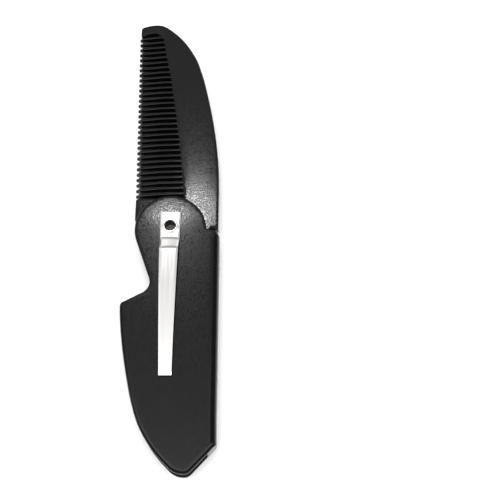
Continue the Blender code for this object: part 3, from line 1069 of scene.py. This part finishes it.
    def stations(self, number: int) -> list[tuple[float, ToothSection, float]]:
        """Cross-sections along one tooth.

        Args:
            number: Which tooth it is, from 0 at the pivot's end.

        Returns:
            Place, section and spread of each, from the tip to inside the blade.
        """
        y = self.tooth_first + number * self.tooth_pitch
        tip, root = self.tooth_tip + self.tip_lean * y, self.root_line(y)
        up = number / (self.tooth_count - 1)
        nose = tip + self.tooth_nose[0] + (self.tooth_nose[1] - self.tooth_nose[0]) * up
        point, waist = tip + self.tooth_point, min(self.tooth_waist, root - self.waist_gap)
        nose_section = self.low_nose_section.towards(self.high_nose_section, up)
        # the stations stand close where the section changes fast: at the point, behind the nose and at the root
        rows = [(tip + s * (point - tip), self.tip_section.towards(self.point_section, sqrt(1 - (1 - s) ** 2)), 0.0)
                for s in (0.0, 0.06, 0.2, 0.4, 0.65)]
        rows += [(point + s * (nose - point), self.point_section.towards(nose_section, s), 0.0)
                 for s in (0.0, 0.2, 0.4, 0.6, 0.8, 0.9)]
        rows += [(nose + s * (waist - nose), nose_section.towards(self.waist_section, s), 0.0)
                 for s in (0.0, 0.08, 0.2, 0.4, 0.6, 0.8)]
        if waist < root - 2 * self.waist_gap:
            rows.append((waist, self.waist_section, 0.0))
        rows += [(root - self.gap_round * (1 - s), self.waist_section, 1 - sqrt(1 - s ** 2))
                 for s in (0.0, 0.2, 0.4, 0.6, 0.75, 0.88, 0.96, 1.0)]
        return rows + [(root + self.tooth_sink, self.sunk_section, 1.0)]

    def add_tooth(self, shell: Shell, number: int) -> None:
        """Adds one tooth.

        Args:
            shell: Shell that takes it.
            number: Which tooth it is, from 0 at the pivot's end.
        """
        y = self.tooth_first + number * self.tooth_pitch
        stations = self.stations(number)
        rings = []
        for x, section, spread in stations:
            middle = y + self.tooth_lean * (x - stations[0][0])
            rings.append(shell.ring(Vector((x, middle + rise, THICKNESS / 2 + depth)) for rise, depth
                                    in section.points(spread, self.tooth_pitch / 2 + self.tooth_lap)))
        shell.skin(rings)
        shell.faces += [tuple(rings[0]), tuple(reversed(rings[-1]))]

    def build(self) -> bpy.types.Object:
        """Builds and dresses the comb.

        Returns:
            The comb.
        """
        outline = self.outline()
        blade, teeth = Shell(), Shell()
        front, back = (THICKNESS / 2 + side * self.half_thickness for side in (1, -1))
        rings = [blade.ring(raised(outline.inset(depth), front - depth)) for depth in self.ease_depths]
        rings.append(blade.ring(raised(outline.points, THICKNESS / 2)))
        rings += [blade.ring(raised(outline.inset(depth), back + depth)) for depth in reversed(self.ease_depths)]
        blade.skin(rings)
        bores = [blade.ring(raised(circle(HOLE_RADIUS), height)) for height in (front, back)]
        blade.skin(bores)
        blade.cap([rings[0], bores[0]], front, self.face_spacing)
        blade.cap([rings[-1], bores[1]], back, self.face_spacing)
        blade.bend(self.thinned)
        for i in range(self.tooth_count):
            self.add_tooth(teeth, i)
        for part in (blade, teeth):
            part.bend(lambda point: point + Vector((0, 0, self.lean * point.x)))
        made = blade.piece("fine_comb")
        combine(made, teeth.piece("teeth"), Operation.JOIN)
        return dress(made, self.finish, Body.COMB, "comb_blade")


# Pocket clip

@dataclass
class SpringClip:
    """The clip: a tapering strip, riveted at its head, with a joggle below it and an arm that springs back down."""

    stock: float = 0.7
    stations: tuple[tuple[float, float, float, float], ...] = (   # height, left edge, right edge, lift
        (5.1, -3.45, 3.50, 0.20), (-3.7, -3.25, 3.25, 0.20), (-4.4, -3.25, 3.18, 0.36), (-7.4, -3.25, 2.94, 1.65),
        (-8.2, -3.24, 2.91, 1.80), (-9.2, -3.22, 2.87, 1.78), (-20.0, -3.03, 2.56, 1.45),
        (-35.0, -2.61, 2.20, 0.90), (-48.6, -2.16, 2.03, 0.42), (-49.5, -2.12, 2.00, 0.28))
    corner: float = 0.12
    bend_run: float = 1.0        # length over which a bend turns
    bend_bow: float = 0.035      # the bends bow a little towards the tip in the strip's middle
    bow_fade: tuple[float, float] = (-12.0, -6.0)
    edge_run: float = 0.9        # the stamped edges roll over a little
    edge_roll: float = 0.08
    edge_steps: tuple[float, ...] = (0, 0.15, 0.3, 0.45, 0.6, 0.8, 1.0, 1.4, 2.0)
    hole_reach: tuple[float, float] = (9.0, 14.0)
    head_places: tuple[float, ...] = (4.6, 3.5, 2.0, 0.0, -1.5)
    joggle_places: tuple[float, float, int] = (-2.6, -0.15, 54)    # first, step and number: close in the bends
    arm_places: tuple[float, float, int] = (-11.0, -1.0, 37)
    end_places: tuple[float, ...] = (-47.6, -47.9, -48.1, -48.3, -48.5, -48.7, -48.9, -49.1, -49.25)
    finish: Finish = RolledNickel("nickel_plated_spring_steel")

    def at(self, y: float, column: int) -> float:
        """Value of one column of the stations, straight between two stations.

        Args:
            y: Where it is along the strip.
            column: The column.

        Returns:
            The value.
        """
        table = self.stations
        if y >= table[0][0]:
            return table[0][column]
        for first, second in zip(table, table[1:]):
            if y >= second[0]:
                share = (first[0] - y) / (first[0] - second[0])
                return first[column] + (second[column] - first[column]) * share
        return table[-1][column]

    def lift(self, x: float, y: float) -> float:
        """Height of the strip's underside off the handle, smoothed over the length of a bend.

        Args:
            x: Where it is across the strip.
            y: Where it is along the strip.

        Returns:
            The height.
        """
        y = y + self.bend_bow * x * x * fade(y, *self.bow_fade)
        offsets = [self.bend_run * (i / 10 - 0.5) for i in range(11)]
        return sum(self.at(y + offset, 3) for offset in offsets) / len(offsets)

    def section(self, y: float, shrink: float) -> list[Vector]:
        """Cross-section of the strip.

        Args:
            y: Where it is along the strip.
            shrink: How far it is set in all round, at the rounded ends.

        Returns:
            Its points, going round from the right.
        """
        left, right = self.at(y, 1) + shrink, self.at(y, 2) - shrink
        low, high = shrink, self.stock - shrink
        first, middle, last = left + self.corner, (left + right) / 2, right - self.corner
        spots = [first + step for step in self.edge_steps] + [middle] + [last - step for step in self.edge_steps]
        rows = []
        for spot in sorted(set(round(s, 5) for s in spots), reverse=True):
            edge = min(spot - left, right - spot)
            rows.append((spot, high - self.edge_roll * max(1 - edge / self.edge_run, 0) ** 2))
        right_top, left_top, floor = rows[0][1] - self.corner, rows[-1][1] - self.corner, low + self.corner
        turn = [self.corner * heading(angle) for angle in (68, 45, 22, 0)]    # round a corner, top to side
        rows += [(first - step.x, left_top + step.y) for step in turn]
        rows += [(first - step.x, floor - step.y) for step in reversed(turn[:-1])]
        rows += [(first, low), (middle, low), (last, low)]
        rows += [(last + step.x, floor - step.y) for step in turn]
        rows += [(last + step.x, right_top + step.y) for step in reversed(turn)]
        return [Vector((x, y, THICKNESS + self.lift(x, y) + z)) for x, z in rows]

    def build(self) -> bpy.types.Object:
        """Builds and dresses the clip.

        Returns:
            The clip.
        """
        top, bottom = self.stations[0][0], self.stations[-1][0]
        turns = [(self.corner * (1 - cos(radians(a))), self.corner * (1 - sin(radians(a)))) for a in (0, 30, 60, 90)]
        inner = list(self.head_places)
        for first, step, number in (self.joggle_places, self.arm_places):
            inner += [first + step * i for i in range(number)]
        places = [(top - sink, shrink) for sink, shrink in turns] + [(y, 0.0) for y in (*inner, *self.end_places)]
        places += [(bottom + sink, shrink) for sink, shrink in reversed(turns)]
        shell = Shell()
        rings = [shell.ring(self.section(y, shrink)) for y, shrink in places]
        shell.skin(rings)
        shell.faces += [tuple(rings[0]), tuple(reversed(rings[-1]))]
        made = shell.piece("spring_clip")
        low, high = self.hole_reach
        punch = turned([(0, low), (HOLE_RADIUS, low), (HOLE_RADIUS, high), (0, high)], ROUND_SIDES)
        combine(made, punch.piece("clip_punch"), Operation.CUT)
        return dress(made, self.finish, Body.HANDLE, "pocket_clip")


# Pivot rivet

@dataclass
class TubeRivet:
    """The semi-tubular rivet: flush head at the back, rolled ring over the clip."""

    sides: int = 120
    profile: tuple[tuple[float, float], ...] = (
        (0.0, 0.20), (2.95, 0.20), (3.08, 0.22), (3.17, 0.28), (3.20, 0.38), (3.20, 0.90), (2.25, 0.90), (2.25, 11.12),
        (2.62, 11.12), (2.65, 11.16), (2.65, 11.26), (2.62, 11.33), (2.56, 11.37), (2.48, 11.38), (2.43, 11.37),
        (2.40, 11.39), (2.37, 11.46), (2.31, 11.55), (2.22, 11.63), (2.12, 11.67), (2.02, 11.68), (1.93, 11.65),
        (1.86, 11.58), (1.82, 11.48), (1.81, 11.35), (1.81, 7.7), (1.70, 7.55), (0.0, 7.45))
    bore_radius: float = 1.84
    bore_heights: tuple[float, float] = (3.0, 11.4)
    finish: Finish = TurnedNickel("nickel_plated_rivet_steel")
    # the bore's copy is rougher, and its darker colour is painted shade in the bore
    bore_dullness_and_painted_shade: Finish = TurnedNickel("dull_rivet_bore_steel", colour="#5c5a58", roughness=(0.294, 0.63))

    def build(self) -> bpy.types.Object:
        """Builds and dresses the rivet.

        Returns:
            The rivet.
        """
        made = turned(self.profile, self.sides).piece("tube_rivet")
        dress(made, self.finish, Body.HANDLE, "pivot_rivet")
        # second slot: the bore's material, rougher and painted darker as shade
        made.data.materials.append(self.bore_dullness_and_painted_shade.build())
        low, high = self.bore_heights
        # faces down in the bore take the painted-shade material
        for face in made.data.polygons:
            middle = face.center / MM - PIVOT
            if middle.xy.length < self.bore_radius and low < middle.z < high:
                face.material_index = 1
        return made


# Table, lamps and camera

class Sight(Enum):
    """Measures of a direction in the room: its slopes from straight up, and its height."""

    ALONG = "slope along the comb"
    SIDEWAYS = "slope to either side"
    HEIGHT = "sine of the height above the table"


@dataclass(frozen=True)
class RoomFactor:
    """A smooth change of the room's brightness with the direction."""

    sight: Sight
    start: float
    end: float
    low: float
    high: float


@dataclass(frozen=True)
class OpalAcrylic(Finish):
    """White sheet of a light table, lit from under it."""

    colour: str = "#f4f4f4"
    glow: float = 0.06

    def surface(self, tree: bpy.types.NodeTree) -> dict[str, Any]:
        """Returns a matt white that glows."""
        return {"Base Color": linear(self.colour), "Roughness": 0.9, "Specular IOR Level": 0.0,
                "Emission Color": (1, 1, 1, 1), "Emission Strength": self.glow}


@dataclass
class Studio:
    """The white light table, its lamps, the room that the object mirrors, and the camera."""

    table_size: float = 20.0         # metres
    table_drop: float = 5e-5
    table_finish: Finish = OpalAcrylic("opal_acrylic_light_table")
    key_slope: tuple[float, float] = (-0.0908, 0.388)
    key_half: tuple[float, float] = (0.026, 0.024)
    key_distance: float = 6.0
    key_radiance: float = 121.0
    fill_strength: float = 0.9
    fill_angle: float = 70.0
    fill_tilt: tuple[float, float] = (-8.0, -4.0)
    camera_place: tuple[float, float, float] = (27.92, -113.16, 313.38)
    camera_right: tuple[float, float, float] = (0.99997, 0.00626, -0.00372)
    camera_up: tuple[float, float, float] = (-0.00470, 0.94469, 0.32792)
    lens: float = 71.2
    sensor: float = 36.0
    sight_range: tuple[float, float] = (0.01, 50.0)    # metres
    backdrop: float = 0.9            # the room as the camera sees it past the table
    horizon: float = 0.02            # slopes are taken no lower than this
    room: tuple[RoomFactor, ...] = (
        RoomFactor(Sight.ALONG, 0.13, 0.30, 1.55, 0.78), RoomFactor(Sight.ALONG, 0.06, 0.15, 2.2, 1.0),
        RoomFactor(Sight.ALONG, -0.03, 0.06, 1.5, 1.0), RoomFactor(Sight.ALONG, -0.30, -0.08, 0.3, 1.0),
        RoomFactor(Sight.ALONG, 0.38, 0.60, 1.0, 1.3), RoomFactor(Sight.ALONG, -0.65, -0.4, 0.3, 1.0),
        RoomFactor(Sight.ALONG, 0.65, 0.85, 1.0, 0.55), RoomFactor(Sight.ALONG, 1.3, 1.9, 1.0, 2.2),
        RoomFactor(Sight.SIDEWAYS, 0.15, 0.28, 1.0, 1.35), RoomFactor(Sight.SIDEWAYS, 0.55, 0.90, 1.0, 0.2),
        RoomFactor(Sight.HEIGHT, 0.05, 0.3, 0.5, 1.0))

    def build(self) -> None:
        """Builds the whole studio."""
        self.add_camera()
        self.add_table()
        self.add_key()
        self.add_fill()
        self.add_room()
        bpy.context.scene.view_settings.view_transform = "Standard"

    def add(self, name: str, data: bpy.types.ID) -> bpy.types.Object:
        """Adds an object to the scene.

        Args:
            name: Name of the object.
            data: Its camera, light or mesh.

        Returns:
            The object.
        """
        made = bpy.data.objects.new(name, data)
        bpy.context.scene.collection.objects.link(made)
        return made

    def add_camera(self) -> None:
        """Adds the camera, where the photograph was taken from."""
        data = bpy.data.cameras.new("camera")
        data.lens, data.sensor_width = self.lens, self.sensor
        data.clip_start, data.clip_end = self.sight_range
        camera = self.add("camera", data)
        right, up = Vector(self.camera_right).normalized(), Vector(self.camera_up).normalized()
        camera.matrix_world = Matrix.Translation((Vector(self.camera_place) + PIVOT) * MM) @ Matrix(
            (right, up, right.cross(up))).transposed().to_4x4()
        bpy.context.scene.camera = camera

    def add_table(self) -> None:
        """Adds the white table, which glows a little, as a light table does."""
        mesh = bpy.data.meshes.new("light_table")
        half = self.table_size / 2
        corners = ((-half, -half), (half, -half), (half, half), (-half, half))
        mesh.from_pydata([(x, y, -self.table_drop) for x, y in corners], [], [(0, 1, 2, 3)])
        mesh.materials.append(self.table_finish.build())
        self.add("light_table", mesh)

    def add_key(self) -> None:
        """Adds the small softbox that the flat faces mirror."""
        data = bpy.data.lights.new("key_softbox", "AREA")
        data.shape = "ELLIPSE"
        data.size, data.size_y = (2 * self.key_distance * half for half in self.key_half)
        data.energy = self.key_radiance * pi * pi * data.size * data.size_y / 4    # watts for an elliptical lamp
        key = self.add("key_softbox", data)
        towards = Vector((*self.key_slope, 1.0))
        key.location = PIVOT * MM + towards * self.key_distance
        key.rotation_mode = "QUATERNION"
        key.rotation_quaternion = towards.to_track_quat("Z", "Y")

    def add_fill(self) -> None:
        """Adds the wide light over the table; it leaves no spot of its own in mirrors."""
        data = bpy.data.lights.new("overhead_fill", "SUN")
        data.energy, data.angle = self.fill_strength, radians(self.fill_angle)
        fill = self.add("overhead_fill", data)
        fill.rotation_euler = (*(radians(tilt) for tilt in self.fill_tilt), 0)
        fill.visible_glossy = False

    def add_room(self) -> None:
        """Adds the room as the shiny faces see it: a pale ceiling, a brighter panel in front, darker walls."""
        world = bpy.data.worlds.new("studio_room")
        world.use_nodes = True
        tree = world.node_tree
        tree.nodes.clear()
        sight = add_node(tree, "ShaderNodeSeparateXYZ",
                         {0: add_node(tree, "ShaderNodeTexCoord").outputs["Generated"]}).outputs
        height = add_node(tree, "ShaderNodeMath", {0: sight["Z"], 1: self.horizon}, operation="MAXIMUM").outputs[0]
        across = add_node(tree, "ShaderNodeMath", {0: sight["X"], 1: height}, operation="DIVIDE").outputs[0]
        sideways = add_node(tree, "ShaderNodeMath", {0: across}, operation="ABSOLUTE").outputs[0]
        along = add_node(tree, "ShaderNodeMath", {0: sight["Y"], 1: height}, operation="DIVIDE").outputs[0]
        measures = {Sight.ALONG: along, Sight.SIDEWAYS: sideways, Sight.HEIGHT: sight["Z"]}
        room: Any = 1.0
        for view in self.room:
            factor = add_node(tree, "ShaderNodeMapRange",
                              {"Value": measures[view.sight], "From Min": view.start, "From Max": view.end,
                               "To Min": view.low, "To Max": view.high}, interpolation_type="SMOOTHSTEP")
            room = add_node(tree, "ShaderNodeMath", {0: factor.outputs["Result"], 1: room},
                            operation="MULTIPLY").outputs[0]
        seen = add_node(tree, "ShaderNodeLightPath").outputs["Is Camera Ray"]
        strength = add_node(tree, "ShaderNodeMix", {"Factor": seen, "A": room, "B": self.backdrop}, data_type="FLOAT")
        glow = add_node(tree, "ShaderNodeBackground", {"Color": (1, 1, 1, 1), "Strength": strength.outputs["Result"]})
        add_node(tree, "ShaderNodeOutputWorld", {"Surface": glow.outputs[0]})
        bpy.context.scene.world = world


def main() -> None:
    """Builds the studio and the four pieces."""
    logging.basicConfig(level=logging.INFO, format="%(message)s")
    Studio().build()
    for maker in (Sheath(), FineComb(), SpringClip(), TubeRivet()):
        made = maker.build()
        LOG.info("built %s", made.name)


if __name__ == "__main__":
    main()
